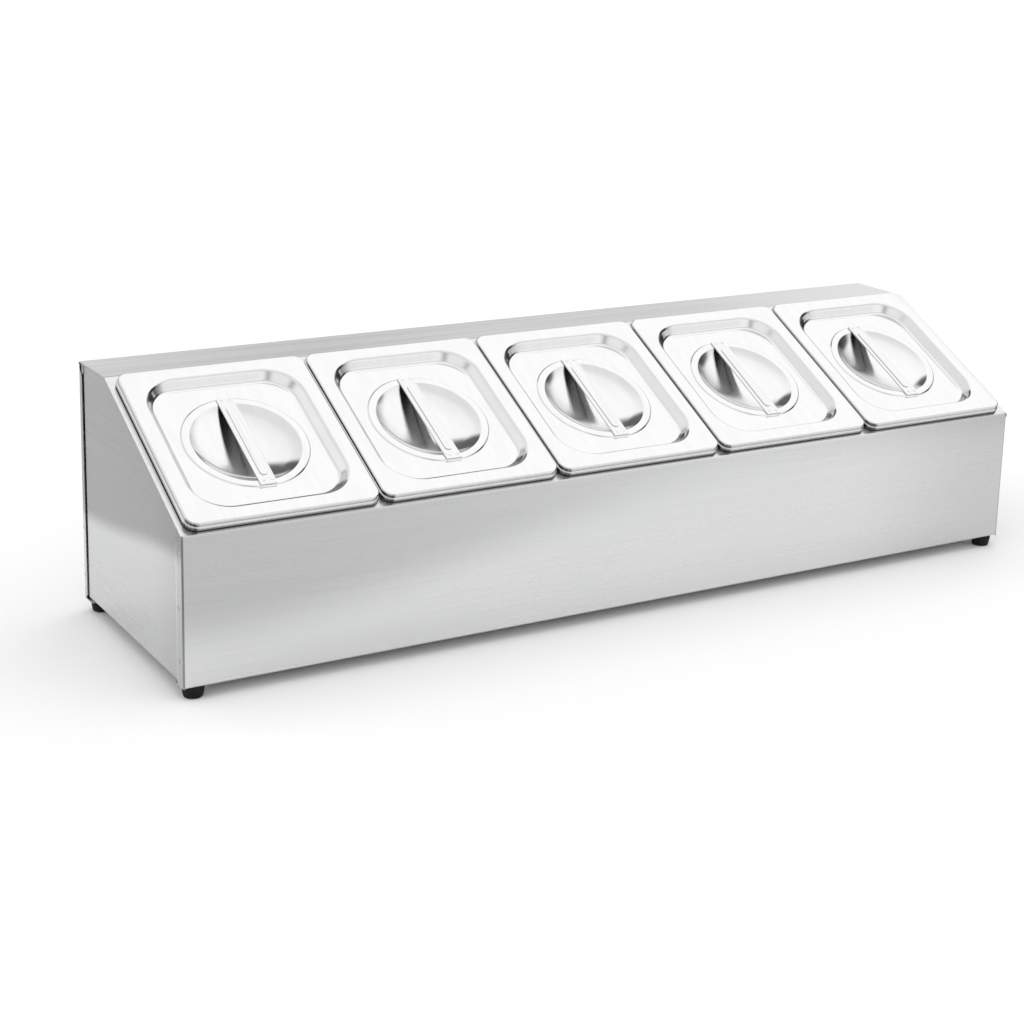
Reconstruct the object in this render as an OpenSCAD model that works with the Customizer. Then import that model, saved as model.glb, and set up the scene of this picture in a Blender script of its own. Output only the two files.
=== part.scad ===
// Sloped holder for five one-sixth food pans, each pan with a lift-off lid.
// Millimetres, +Z up. The origin is on the table, under the middle of the housing.
// +X runs to the right and the low front side faces -Y.

/* [Housing] */
// Height of the rear ledge above the table
overall_h = 215; // [190:1:240]
// Depth of the housing from front to back
overall_d = 225; // [215:1:260]
// Height of the front panel's top fold above the table
front_h = 130; // [125:1:150]
// Thickness of the housing sheet
sheet_t = 1.0; // [0.8:0.1:1.5]
// Inside radius of the housing's folds
bend_r = 0.8; // [0.6:0.1:1.5]
// Distance from the housing's end to the first pan's share of the width
side_margin = 5; // [4:0.5:12]
// Distance along the slope from the front fold to the pan rims
front_margin = 3.5; // [3:0.5:10]
// Distance along the slope from the pan rims to the ledge fold
rear_margin = 4.3; // [3:0.1:12]
// Width of the strip that the slope keeps at each end
end_strip_w = 5; // [3:0.1:5.3]
// Width of the folds along the bottom of the front and back
bottom_fold_w = 18; // [15:0.5:25]

/* [Lapped corners] */
// Width of the front panel's return over the end panel
front_return_w = 12; // [8:0.5:18]
// Width of the back panel's return beside the end panel
back_return_w = 7; // [5:0.5:10]
// Open slot between the back return and the end panel
back_slot_w = 3; // [2:0.5:5]
// Drop of the slanted top of the front return
front_return_drop = 5; // [3:0.5:8]
// Drop of the slanted top of the back return
back_return_drop = 8.5; // [5:0.5:12]
// Cut corner at the foot of each return
return_chamfer = 4; // [2:0.5:5]
// Radius of a spot weld's dimple
weld_r = 1.8; // [1:0.1:2.5]
// Depth of a spot weld's dimple
weld_depth = 0.25; // [0.1:0.05:0.4]
// Height of the lowest spot weld above the housing's bottom
weld_low = 21; // [12:1:30]
// Distance between spot welds
weld_pitch = 42.5; // [25:0.5:45]
// Spot welds on each return
weld_count = 3; // [2:1:3]

/* [End panels] */
// Height of an end panel's bottom edge above the housing's bottom
end_raise = 3.5; // [3:0.1:8]
// Width of an end panel's inward folds
end_fold_w = 12; // [6:0.5:14]
// Distance from each corner to the end panel's folds, left free for the brackets
corner_clear = 32; // [29:1:45]

/* [Feet] */
// Height of a rubber foot
foot_h = 10; // [8:0.5:20]
// Radius of a foot at its top
foot_top_r = 9; // [8:0.1:9.5]
// Radius of a foot at its base
foot_base_r = 7.8; // [7.2:0.1:8]
// Radius of the foot's rounded lower edge
foot_edge_r = 1.6; // [0.8:0.1:2]
// Distance from the housing's end to a foot's middle
foot_in_x = 11.5; // [11:0.5:16]
// Distance from the housing's front or back to a foot's middle
foot_in_y = 9.5; // [9.5:0.5:12]
// Radius of the screw's recess in the foot
recess_r = 4.9; // [4.8:0.1:5.2]
// Height of the recess in the foot
recess_h = 5.2; // [4.6:0.1:5.5]
// Width and foot length of the angle bracket above each foot
bracket_w = 24; // [22:0.5:26]
// Height of that bracket
bracket_h = 22; // [14:0.5:26]
// Thickness of that bracket
bracket_t = 2; // [1.5:0.1:2.3]

/* [Fasteners] */
// Radius of the foot screw's shank
screw_r = 2.5; // [2:0.1:2.6]
// Radial clearance of the screw in its holes
screw_clear = 0.25; // [0.15:0.05:0.4]
// Radial clearance of the nut's thread
nut_clear = 0.05; // [0.02:0.01:0.1]
// Radius of the screw's head
screw_head_r = 4.2; // [3.8:0.1:4.5]
// Height of the screw's head
screw_head_h = 2.8; // [2.2:0.1:3]
// Radius of the washer
washer_r = 4.6; // [4.4:0.1:4.7]
// Thickness of the washer
washer_t = 1; // [0.8:0.1:1.2]
// Distance across the nut's flats
nut_flats = 8; // [7:0.1:9]
// Height of the nut
nut_h = 4; // [3:0.1:5]
// Thread that shows above the nut
screw_tail = 1.5; // [0.5:0.1:3]

/* [Pans] */
// Width of a one-sixth pan over its rim
pan_w = 162; // [150:1:180]
// Length of a one-sixth pan over its rim
pan_l = 176; // [165:1:190]
// Depth of a pan below its rim
pan_depth = 100; // [60:1:105]
// Gap between neighbouring pan rims
pan_gap = 1; // [0.6:0.1:3]
// Thickness of the pan's sheet
pan_t = 0.7; // [0.6:0.05:0.9]
// Distance from the rim's edge in to the pan's wall
pan_wall_in = 11; // [10:0.5:13]
// Radius of the bend from the rim down into the wall
pan_mouth_r = 6; // [5:0.5:7]
// Height of the rim's turned-down edge
pan_lip_h = 3.6; // [3:0.1:4.2]
// Gap between that edge and the slope: the pan hangs by the bend under its rim
pan_lip_gap = 0.5; // [0.3:0.1:1.5]
// Radius of the rim's plan corners
rim_corner_r = 10; // [8:0.5:14]
// Radius of the pan's plan corners, inside its wall
pan_corner_r = 28; // [26:0.5:34]
// Slope of the pan's walls away from upright
pan_draft = 4; // [2:0.5:5]
// Radius around the pan's floor
pan_floor_r = 12; // [8:0.5:14]
// Distance from the rim down to the stacking step
pan_step_at = 12; // [10:0.5:18]
// Clearance between the cut-out's edge and the bend that hangs on it
pan_fit = 0.3; // [0.2:0.05:0.5]

/* [Lids] */
// How far a lid's edge stays inside the pan's edge
lid_inset = 1.0; // [0.8:0.1:1.3]
// Thickness of the lid's sheet
lid_t = 0.7; // [0.6:0.05:0.9]
// Height of the lid's turned-down edge
lid_lip_h = 3.5; // [3:0.1:4]
// Width of the lid's flat border, out to its edge
lid_border_w = 11; // [10:0.5:14]
// Depth of the sunk field
field_depth = 8; // [6:0.5:9]
// Radius of the sunk field's plan corners
field_corner_r = 33; // [30:0.5:36]
// Slope of the sunk field's walls below level
field_wall_a = 55; // [45:1:70]
// Outside radius of the raised ring around the bowl
ring_r = 52; // [48:0.5:54]
// Width of the raised ring
ring_w = 6; // [5:0.5:8]
// Height of the raised ring
ring_h = 1; // [0.7:0.1:1.5]
// Depth of the finger bowl under the ring
bowl_depth = 9.5; // [7:0.5:12]
// Slope of the bowl's wall below its edge
bowl_wall_a = 32; // [28:1:36]
// Radius from the bowl's wall into its shallow floor
bowl_turn_r = 32; // [20:1:36]

/* [Handles] */
// Distance from the raised ring's outer edge in to the strip's end
handle_inset = 1.5; // [0:0.5:2.5]
// Width of the handle strip
handle_w = 14; // [11:0.5:18]
// Thickness of the handle strip
handle_t = 1.2; // [1:0.1:1.6]
// Width of the bead pressed along the strip
bead_w = 6.5; // [5:0.5:8]
// Height of the bead
bead_h = 0.7; // [0.4:0.1:0.9]
// Distance from the strip's end to the bead
bead_end = 10; // [8:0.5:14]
// Radius of a spot weld's dimple on the strip
handle_weld_r = 1.1; // [0.8:0.1:1.4]
// Distance from the strip's end to its spot welds
handle_weld_end = 3.2; // [2.8:0.1:4]

/* [Hidden] */
$fn = 64;

// Small overlap that lets one cut pass a face
past = 1;
// Overlap between two parts of one pressed sheet
seam = 1;
// Steps in which a sheet's folds are drawn
fold_steps = 4;
bowl_steps = 10;

pan_count = 5;
pan_pitch = pan_w + pan_gap;
overall_w = pan_count * pan_pitch + 2 * side_margin;
slope_len = front_margin + pan_l + rear_margin;
slope_rise = overall_h - front_h;
slope_a = asin(slope_rise / slope_len);
ledge_d = overall_d - slope_len * cos(slope_a);
half_w = overall_w / 2;
half_d = overall_d / 2;
fold_mid_r = bend_r + sheet_t / 2;
fold_out_r = bend_r + sheet_t;
pan_mid_s = front_margin + pan_l / 2;

// Heights above the slope's surface, along its normal
pan_top = pan_lip_gap + pan_lip_h;
lid_top = pan_top + lid_lip_h;
field_top = lid_top - field_depth;
ring_top = field_top + ring_h;

// Radii of the pressed folds, at the middle of the sheet
rim_fold_r = 1;
pan_step_r = 2;
pan_step_a = 50;
pan_step_len = 1.5;
field_fold_r = 4;
ring_fold_r = 0.8;
ring_wall_a = 45;
bowl_fold_r = 3;

// Outline of a thin sheet. A path starts at p, heading h, and takes moves of [length, 0] or
// [radius, turn]. Each path point carries the normal on the right of its heading.
function ahead(a) = [cos(a), sin(a)];
function path_point(p, h) = [p[0], p[1], cos(h - 90), sin(h - 90)];
function turned(p, h, r, turn) = p + sign(turn) * r * (ahead(h + 90) - ahead(h + turn + 90));
function fold_points(p, h, r, turn) = [for (k = [0:fold_steps - 1]) let (a = turn * k / fold_steps)
    path_point(turned(p, h, r, a), h + a)];
function walk(p, h, moves, i = 0) =
    i == len(moves) ? [path_point(p, h)] :
    let (size = moves[i][0], turn = moves[i][1])
    turn == 0 ? concat([path_point(p, h)], walk(p + size * ahead(h), h, moves, i + 1)) :
    concat(fold_points(p, h, size, turn), walk(turned(p, h, size, turn), h + turn, moves, i + 1));
function side_of(path, d) = [for (p = path) [p[0] + p[2] * d, p[1] + p[3] * d]];
function reversed(list) = [for (i = [len(list) - 1:-1:0]) list[i]];
function sheet_outline(path, t) = concat(side_of(path, t / 2), reversed(side_of(path, -t / 2)));

// Length of the straight wall in a fold-wall-fold step, and the step's width
function wall_len(drop, r1, r2, a) = (drop - (r1 + r2) * (1 - cos(a))) / sin(a);
function step_run(drop, r1, r2, a) = (r1 + r2) * sin(a) + wall_len(drop, r1, r2, a) * cos(a);

// Sweeps a section around a rectangle w by l. The section's x is the distance from the centre of
// a plan corner of radius r, so x = r lies on the rectangle's edge.
module swept(w, l, r, section) {
    for (k = [0:3]) {
        across = (k % 2 == 0 ? w : l) / 2 - r;
        along = (k % 2 == 0 ? l : w) / 2 - r;
        rotate([0, 0, 90 * k]) translate([across, along, 0]) {
            rotate_extrude(angle = 90) polygon(section);
            rotate([90, 0, 0]) linear_extrude(height = 2 * along) polygon(section);
        }
    }
}

// Flat plate inside a swept section that starts at x = 0
module middle_plate(w, l, r, low, high) {
    translate([r - w / 2, r - l / 2, low]) cube([w - 2 * r, l - 2 * r, high - low]);
}

// Upright prism with the plan of a rectangle w by l and corner radius r
module rounded_prism(w, l, r, low, high) {
    translate([-w / 2, r - l / 2, low]) cube([w, l - 2 * r, high - low]);
    translate([r - w / 2, -l / 2, low]) cube([w - 2 * r, l, high - low]);
    for (x = [r - w / 2, w / 2 - r], y = [r - l / 2, l / 2 - r])
        translate([x, y, low]) cylinder(r = r, h = high - low);
}

module on_slope() {
    translate([0, -half_d, front_h]) rotate([slope_a, 0, 0]) children();
}

function pan_x(i) = (i - (pan_count + 1) / 2) * pan_pitch;

module at_pan(i) {
    on_slope() translate([pan_x(i), pan_mid_s, 0]) children();
}

// ---- Housing ----

// Middle line of the housing sheet's section in Y and Z, from the front's bottom fold over the top
// to the back's bottom fold
bottom_run = bottom_fold_w - fold_out_r;
front_run = front_h - foot_h - fold_out_r - fold_out_r * tan((90 - slope_a) / 2);
slope_run = slope_len - fold_out_r * (tan((90 - slope_a) / 2) + tan(slope_a / 2));
ledge_run = ledge_d - fold_out_r * (1 + tan(slope_a / 2));
back_run = overall_h - foot_h - 2 * fold_out_r;
shell_moves = [[bottom_run, 0], [fold_mid_r, -90], [front_run, 0], [fold_mid_r, slope_a - 90],
    [slope_run, 0], [fold_mid_r, -slope_a], [ledge_run, 0], [fold_mid_r, -90], [back_run, 0],
    [fold_mid_r, -90], [bottom_run, 0]];
shell_path = walk([bottom_fold_w - half_d, foot_h + sheet_t / 2], 180, shell_moves);

module along_x(length) {
    rotate([90, 0, 90]) linear_extrude(height = length, center = true) children();
}

// The bend under a pan's rim hangs over the cut-out's edge: its axis and inside radius
mouth_in = pan_wall_in - pan_mouth_r - pan_t / 2;
mouth_axis_h = pan_top - pan_t / 2 - pan_mouth_r;
mouth_under_r = pan_mouth_r - pan_t / 2;
seat_in = mouth_in + sqrt(pow(mouth_under_r - pan_fit, 2) - pow(mouth_axis_h, 2));
cut_front = front_margin + seat_in;
cut_rear = front_margin + pan_l - seat_in;

// Return of the front or back sheet around the left end, drawn for a sheet at y = 0 facing -Y
module return_flange(w, top, drop) {
    low = foot_h;
    intersection() {
        union() {
            translate([fold_out_r, fold_out_r, low]) rotate([0, 0, 180]) rotate_extrude(angle = 90)
                translate([bend_r, 0]) square([sheet_t, top - low]);
            translate([0, fold_out_r, low]) cube([sheet_t, w - fold_out_r, top - low]);
        }
        rotate([90, 0, 90]) linear_extrude(height = fold_out_r + past)
            polygon([[0, low], [w - return_chamfer, low], [w, low + return_chamfer],
                [w, top - drop], [0, top]]);
    }
}

// Cut that clears the square corner of the sheet where a return bends round it
module return_space(top) {
    side = fold_out_r + past;
    translate([-past, -past, foot_h - past]) cube([side, side, top - foot_h + past]);
}

module weld_dimples(w) {
    for (k = [0:weld_count - 1])
        translate([-past, w / 2, foot_h + weld_low + k * weld_pitch]) rotate([0, 90, 0])
            cylinder(r = weld_r, h = past + weld_depth);
}

// Small relief left open above each return
return_relief = 1;
front_return_top = front_h - fold_out_r - return_relief;
back_return_top = overall_h - fold_out_r - return_relief;

// Puts its children, drawn at the front left corner, at all four corners: rear is 1 for the back
module at_ends(rear) {
    for (side = [0, 1])
        mirror([side, 0, 0]) mirror([0, rear, 0]) translate([-half_w, -half_d, 0]) children();
}

module at_feet() {
    for (side = [-1, 1], end = [-1, 1])
        translate([side * (half_w - foot_in_x), end * (half_d - foot_in_y), 0]) children();
}

module screw_hole(low, t) {
    translate([0, 0, low - past]) cylinder(r = screw_r + screw_clear, h = t + 2 * past);
}

module main_shell() {
    color("silver") difference() {
        union() {
            difference() {
                along_x(overall_w) polygon(sheet_outline(shell_path, sheet_t));
                at_ends(0) return_space(front_return_top);
                at_ends(1) return_space(back_return_top);
            }
            at_ends(0) return_flange(front_return_w, front_return_top, front_return_drop);
            at_ends(1) return_flange(back_return_w, back_return_top, back_return_drop);
        }
        on_slope() translate([end_strip_w - half_w, cut_front, -sheet_t - past])
            cube([overall_w - 2 * end_strip_w, cut_rear - cut_front, sheet_t + 2 * past]);
        at_ends(0) weld_dimples(front_return_w);
        at_ends(1) weld_dimples(back_return_w);
        at_feet() screw_hole(foot_h, sheet_t);
    }
}

// Left end panel: a flat sheet cut to the inside of the housing, with folds behind and below
end_low = foot_h + end_raise;
end_front = fold_out_r - half_d;
end_rear = half_d - back_return_w - back_slot_w;
end_x = sheet_t - half_w;
module end_panel() {
    intersection() {
        translate([end_x + sheet_t / 2, 0, 0]) along_x(sheet_t) polygon(side_of(shell_path, sheet_t / 2));
        translate([-half_w, end_front, end_low]) cube([overall_w, end_rear - end_front, overall_h]);
    }
    translate([end_x, end_rear - sheet_t, foot_h + corner_clear])
        cube([end_fold_w, sheet_t, overall_h - 2 * sheet_t - foot_h - corner_clear]);
    translate([end_x, corner_clear - half_d, end_low])
        cube([end_fold_w, overall_d - 2 * corner_clear, sheet_t]);
}

module left_end_panel() {
    color("darkgray") end_panel();
}

module right_end_panel() {
    color("darkgray") mirror([1, 0, 0]) end_panel();
}

// ---- Feet ----

bracket_low = foot_h + sheet_t;
bracket_fold_r = bracket_t;
bracket_run = bracket_fold_r + bracket_t / 2;
bracket_path = walk([bracket_t / 2, bracket_h], -90,
    [[bracket_h - bracket_run, 0], [bracket_fold_r, 90], [bracket_w - bracket_run, 0]]);

// side is -1 for the left end and 1 for the right, end is -1 for the front and 1 for the back
module bracket(side, end) {
    color("gray") mirror([side + 1, 0, 0]) mirror([0, end + 1, 0]) difference() {
        translate([2 * sheet_t - half_w, fold_out_r + bracket_w - half_d, bracket_low])
            rotate([90, 0, 0]) linear_extrude(height = bracket_w)
                polygon(sheet_outline(bracket_path, bracket_t));
        translate([foot_in_x - half_w, foot_in_y - half_d, 0]) screw_hole(bracket_low, bracket_t);
    }
}

// Half section of a foot, with its rounded lower edge drawn as an arc
edge_points = [for (a = [-90:15:0]) [foot_base_r - foot_edge_r, foot_edge_r] + foot_edge_r * ahead(a)];
foot_section = concat([[recess_r, 0]], edge_points,
    [[foot_top_r, foot_h * 0.8], [foot_top_r, foot_h], [screw_r + screw_clear, foot_h],
    [screw_r + screw_clear, recess_h], [recess_r, recess_h]]);

module foot(side, end) {
    color("#1c1c1c") translate([side * (half_w - foot_in_x), end * (half_d - foot_in_y), 0])
        rotate_extrude() polygon(foot_section);
}

washer_low = recess_h - washer_t;
nut_low = bracket_low + bracket_t;
tail_top = nut_low + nut_h + screw_tail;

module foot_washers() {
    color("lightgray") at_feet() difference() {
        translate([0, 0, washer_low]) cylinder(r = washer_r, h = washer_t);
        screw_hole(washer_low, washer_t);
    }
}

// Pan-head screws with a cross slot, from below
slot_w = 1;
module foot_screws() {
    color("lightgray") at_feet() difference() {
        union() {
            translate([0, 0, washer_low - screw_head_h]) cylinder(r = screw_head_r, h = screw_head_h);
            translate([0, 0, washer_low]) cylinder(r = screw_r, h = tail_top - washer_low);
        }
        for (turn = [0, 90]) rotate([0, 0, turn])
            translate([-screw_r, -slot_w / 2, washer_low - screw_head_h - past])
                cube([2 * screw_r, slot_w, screw_head_h / 2 + past]);
    }
}

module foot_nuts() {
    color("lightgray") at_feet() difference() {
        translate([0, 0, nut_low]) cylinder(r = nut_flats / 2 / cos(30), h = nut_h, $fn = 6);
        translate([0, 0, nut_low - past]) cylinder(r = screw_r + nut_clear, h = nut_h + 2 * past);
    }
}

// ---- Pans ----

// Turned-down rim: from the plan corner's centre out over the flat and down the edge
function rim_section(r, top, lip_h, t) = sheet_outline(walk([0, top - t / 2], 0,
    [[r - t / 2 - rim_fold_r, 0], [rim_fold_r, -90], [lip_h - t / 2 - rim_fold_r, 0]]), -t);

// Pan body: from the flat rim over the mouth, down past the stacking step to the floor
pan_wall_a = 90 - pan_draft;
step_back = pan_wall_a - pan_step_a;
upper_wall = pan_step_at - pan_mouth_r;
step_drop = pan_mouth_r * (1 - cos(pan_wall_a)) + upper_wall * sin(pan_wall_a)
    + 2 * pan_step_r * (cos(pan_step_a) - cos(pan_wall_a)) + pan_step_len * sin(pan_step_a);
lower_wall = (pan_depth - pan_t - step_drop - pan_floor_r * (1 - cos(pan_wall_a))) / sin(pan_wall_a);
pan_moves = [[seam, 0], [pan_mouth_r, pan_wall_a], [upper_wall, 0], [pan_step_r, -step_back],
    [pan_step_len, 0], [pan_step_r, step_back], [lower_wall, 0], [pan_floor_r, -pan_wall_a]];
mouth_corner_r = pan_corner_r + pan_mouth_r + pan_t / 2;
pan_path = walk([mouth_corner_r + seam, pan_top - pan_t / 2], 180, pan_moves);
pan_body_path = concat(pan_path, [[0, pan_top - pan_depth + pan_t / 2, 0, 1]]);

module pan_shape() {
    mouth_w = pan_w - 2 * mouth_in;
    mouth_l = pan_l - 2 * mouth_in;
    difference() {
        union() {
            swept(pan_w, pan_l, rim_corner_r, rim_section(rim_corner_r, pan_top, pan_lip_h, pan_t));
            middle_plate(pan_w, pan_l, rim_corner_r, pan_top - pan_t, pan_top);
        }
        rounded_prism(mouth_w, mouth_l, mouth_corner_r, pan_top - pan_t - past, pan_top + past);
    }
    swept(mouth_w, mouth_l, mouth_corner_r, sheet_outline(pan_body_path, pan_t));
    middle_plate(mouth_w, mouth_l, mouth_corner_r, pan_top - pan_depth, pan_top - pan_depth + pan_t);
}

module pan(i) {
    color("gainsboro") at_pan(i) pan_shape();
}

// ---- Lids ----

lid_w = pan_w - 2 * lid_inset;
lid_l = pan_l - 2 * lid_inset;
lid_corner_r = rim_corner_r - lid_inset;
field_wall = wall_len(field_depth, field_fold_r, field_fold_r, field_wall_a);
field_moves = [[seam, 0], [field_fold_r, field_wall_a], [field_wall, 0], [field_fold_r, -field_wall_a]];
field_path = concat(walk([field_corner_r + seam, lid_top - lid_t / 2], 180, field_moves),
    [[0, field_top - lid_t / 2, 0, 1]]);

// Ring and bowl: from the sunk field up on to the ring and down into the bowl
ring_wall = wall_len(ring_h, ring_fold_r, ring_fold_r, ring_wall_a);
ring_step_w = step_run(ring_h, ring_fold_r, ring_fold_r, ring_wall_a);
bowl_r = ring_r - ring_w;
bowl_folds = bowl_fold_r + bowl_turn_r;
bowl_floor_r = bowl_r - bowl_folds * sin(bowl_wall_a);
bowl_floor_a = 2 * atan((bowl_depth - bowl_folds * (1 - cos(bowl_wall_a))) / bowl_floor_r);
bowl_sphere_r = bowl_floor_r / sin(bowl_floor_a) + bowl_turn_r;
ring_moves = [[seam, 0], [ring_fold_r, -ring_wall_a], [ring_wall, 0], [ring_fold_r, ring_wall_a],
    [ring_w - ring_step_w, 0], [bowl_fold_r, bowl_wall_a],
    [bowl_turn_r, bowl_floor_a - bowl_wall_a]];
ring_path = walk([ring_r + seam, field_top - lid_t / 2], 180, ring_moves);
bowl_floor = ring_top - lid_t / 2 - bowl_depth;
bowl_path = [for (k = [1:bowl_steps]) let (a = bowl_floor_a * (1 - k / bowl_steps))
    [bowl_sphere_r * sin(a), bowl_floor + bowl_sphere_r * (1 - cos(a)), -sin(a), cos(a)]];

module lid_shape() {
    field_w = lid_w - 2 * lid_border_w;
    field_l = lid_l - 2 * lid_border_w;
    difference() {
        union() {
            swept(lid_w, lid_l, lid_corner_r, rim_section(lid_corner_r, lid_top, lid_lip_h, lid_t));
            middle_plate(lid_w, lid_l, lid_corner_r, lid_top - lid_t, lid_top);
        }
        rounded_prism(field_w, field_l, field_corner_r, lid_top - lid_t - past, lid_top + past);
    }
    difference() {
        union() {
            swept(field_w, field_l, field_corner_r, sheet_outline(field_path, lid_t));
            middle_plate(field_w, field_l, field_corner_r, field_top - lid_t, field_top);
        }
        translate([0, 0, field_top - lid_t - past]) cylinder(r = ring_r, h = lid_t + 2 * past);
    }
    rotate_extrude() polygon(sheet_outline(concat(ring_path, bowl_path), lid_t));
}

module lid(i) {
    color("whitesmoke") at_pan(i) lid_shape();
}

module slot_prism(w, l, low, high) {
    translate([-w / 2, w / 2 - l / 2, low]) cube([w, l - w, high - low]);
    for (y = [w / 2 - l / 2, l / 2 - w / 2]) translate([0, y, low]) cylinder(r = w / 2, h = high - low);
}

handle_l = 2 * (ring_r - handle_inset);
handle_top = ring_top + handle_t;

module handle_shape() {
    bead_l = handle_l - 2 * bead_end;
    difference() {
        union() {
            translate([-handle_w / 2, -handle_l / 2, ring_top]) cube([handle_w, handle_l, handle_t]);
            slot_prism(bead_w, bead_l, handle_top - handle_t / 2, handle_top + bead_h);
        }
        slot_prism(bead_w - handle_t, bead_l - handle_t, ring_top - past, ring_top + bead_h);
        for (x = [-handle_w / 4, handle_w / 4], end = [-1, 1])
            translate([x, end * (handle_l / 2 - handle_weld_end), handle_top - weld_depth])
                cylinder(r = handle_weld_r, h = weld_depth + past);
    }
}

module lid_handle(i) {
    color("white") at_pan(i) handle_shape();
}

main_shell();
left_end_panel();
right_end_panel();
bracket(-1, -1);  // bracket_front_left
bracket(1, -1);  // bracket_front_right
bracket(-1, 1);  // bracket_back_left
bracket(1, 1);  // bracket_back_right
foot(-1, -1);  // foot_front_left
foot(1, -1);  // foot_front_right
foot(-1, 1);  // foot_back_left
foot(1, 1);  // foot_back_right
foot_washers();
foot_screws();
foot_nuts();
pan(1);  // pan_1
pan(2);  // pan_2
pan(3);  // pan_3
pan(4);  // pan_4
pan(5);  // pan_5
lid(1);  // lid_1
lid(2);  // lid_2
lid(3);  // lid_3
lid(4);  // lid_4
lid(5);  // lid_5
lid_handle(1);  // lid_handle_1
lid_handle(2);  // lid_handle_2
lid_handle(3);  // lid_handle_3
lid_handle(4);  // lid_handle_4
lid_handle(5);  // lid_handle_5
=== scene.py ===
import math
from functools import partial

import bpy
from mathutils import Matrix, Vector


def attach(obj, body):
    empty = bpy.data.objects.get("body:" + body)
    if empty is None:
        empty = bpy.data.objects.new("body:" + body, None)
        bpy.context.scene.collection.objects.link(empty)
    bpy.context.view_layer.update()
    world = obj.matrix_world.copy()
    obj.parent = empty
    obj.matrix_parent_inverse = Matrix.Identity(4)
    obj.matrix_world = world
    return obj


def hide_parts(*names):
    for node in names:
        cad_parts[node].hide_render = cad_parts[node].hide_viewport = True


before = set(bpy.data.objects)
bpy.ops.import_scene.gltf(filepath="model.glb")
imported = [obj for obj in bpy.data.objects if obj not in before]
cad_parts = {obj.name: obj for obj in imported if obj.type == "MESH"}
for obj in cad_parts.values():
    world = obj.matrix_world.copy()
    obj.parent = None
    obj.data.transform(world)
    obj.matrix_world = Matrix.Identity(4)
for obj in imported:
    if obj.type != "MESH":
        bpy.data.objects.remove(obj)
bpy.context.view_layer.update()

# The looks of a sloped steel holder for five food pans with lift-off lids. The pans and lids are drawn
# again as fine pressed sheets, and every other piece keeps the shape that the frame gives it.
# Sizes are in millimetres and angles in degrees. MM turns a size into the frame's metres.
MM = 0.001

# ---- The housing ----
OVERALL_W = 825.0
OVERALL_D = 225.0
OVERALL_H = 215.0
FRONT_H = 130.0
SHEET_T = 1.0
# Strips of the slope before and behind the pans
FRONT_MARGIN = 3.5
REAR_MARGIN = 4.3
# The shell's returns over the ends, and the slot beside the back ones
FRONT_RETURN_W = 12.0
BACK_RETURN_W = 7.0
BACK_SLOT_W = 3.0
# The spot welds on the front returns: the lowest one's height and the distance between them
WELD_LOW = 31.0
WELD_PITCH = 42.5
# The ledge's mitred flap over a slot
FLAP_DROP = 9.0
FLAP_RISE = 2.0
FLAP_CLEAR = 0.2

# ---- The pans ----
PAN_COUNT = 5
PAN_W = 162.0
PAN_L = 176.0
PAN_DEPTH = 100.0
PAN_GAP = 1.0
PAN_T = 0.7
PAN_LIP_GAP = 0.5
PAN_LIP_H = 3.6
PAN_WALL_IN = 11.0
PAN_MOUTH_R = 6.0
PAN_CORNER_R = 28.0
PAN_DRAFT = 4.0
PAN_FLOOR_R = 12.0
PAN_STEP_AT = 12.0
PAN_STEP_R = 2.0
PAN_STEP_A = 50.0
PAN_STEP_LEN = 1.5
RIM_CORNER_R = 10.0
RIM_FOLD_R = 1.0
# How far outside its corner radius a pan's mouth begins
PAN_MOUTH_EASE = 0.01

# ---- The lids ----
LID_INSET = 1.0
LID_T = 0.7
LID_LIP_H = 3.5
LID_BORDER_W = 11.0
FIELD_DEPTH = 8.0
FIELD_CORNER_R = 33.0
FIELD_WALL_A = 55.0
FIELD_FOLD_R = 4.0
RING_R = 52.0
RING_W = 6.0
RING_H = 1.0
RING_FOLD_R = 0.8
RING_WALL_A = 45.0
BOWL_DEPTH = 9.5
BOWL_FOLD_R = 3.0
BOWL_WALL_A = 32.0
BOWL_TURN_R = 32.0
# The level strip round the foot of the raised ring
RING_LEAD = 0.4

# ---- Sizes that follow from them ----
HALF_W = OVERALL_W / 2
HALF_D = OVERALL_D / 2
SLOPE_LEN = FRONT_MARGIN + PAN_L + REAR_MARGIN
SLOPE_A = math.degrees(math.asin((OVERALL_H - FRONT_H) / SLOPE_LEN))
PAN_PITCH = PAN_W + PAN_GAP
PAN_TOP = PAN_LIP_GAP + PAN_LIP_H
PAN_MOUTH_CORNER_R = PAN_CORNER_R + PAN_MOUTH_R + PAN_T / 2
LID_TOP = PAN_TOP + LID_LIP_H
LID_W = PAN_W - 2 * LID_INSET
LID_L = PAN_L - 2 * LID_INSET
LID_CORNER_R = RIM_CORNER_R - LID_INSET
FIELD_TOP = LID_TOP - FIELD_DEPTH
RING_TOP = FIELD_TOP + RING_H

# ---- How finely the pressed sheets are drawn ----
FOLD_STEP = 7.0
CORNER_STEPS = 20
SIDE_STEPS = 18
BOWL_STEPS = 22
# Extra points on the flats stand this far outside a fold
FLAT_RUN = 0.3
FLOOR_FLAT_RUN = 0.5
TINY = 1e-6

# ---- The pleats in the lips' rounded corners, bumped in and painted dark as a reflection ----
# The share of a lip's height, from its top, below which they are full
PLEAT_FULL_AT = 0.4
# How far they spread from the middle of a corner
PLEAT_SPREAD = 5.0
# Their share in the corners other than the front left one, which is pleated most and painted darkest, as a
# reflection of the dark gap beside it
PLEAT_ELSEWHERE = 0.4
# The loops, counted from the edge, that make up the cut edge, which is painted dark as the shadow line
# under the lip
CUT_EDGE_LOOPS = 2

# The four quarters of a plan, anticlockwise
QUARTERS = ((1, 1), (-1, 1), (-1, -1), (1, -1))


# ---- Sheet sections ----
def cosd(a):
    return math.cos(math.radians(a))


def sind(a):
    return math.sin(math.radians(a))


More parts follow.
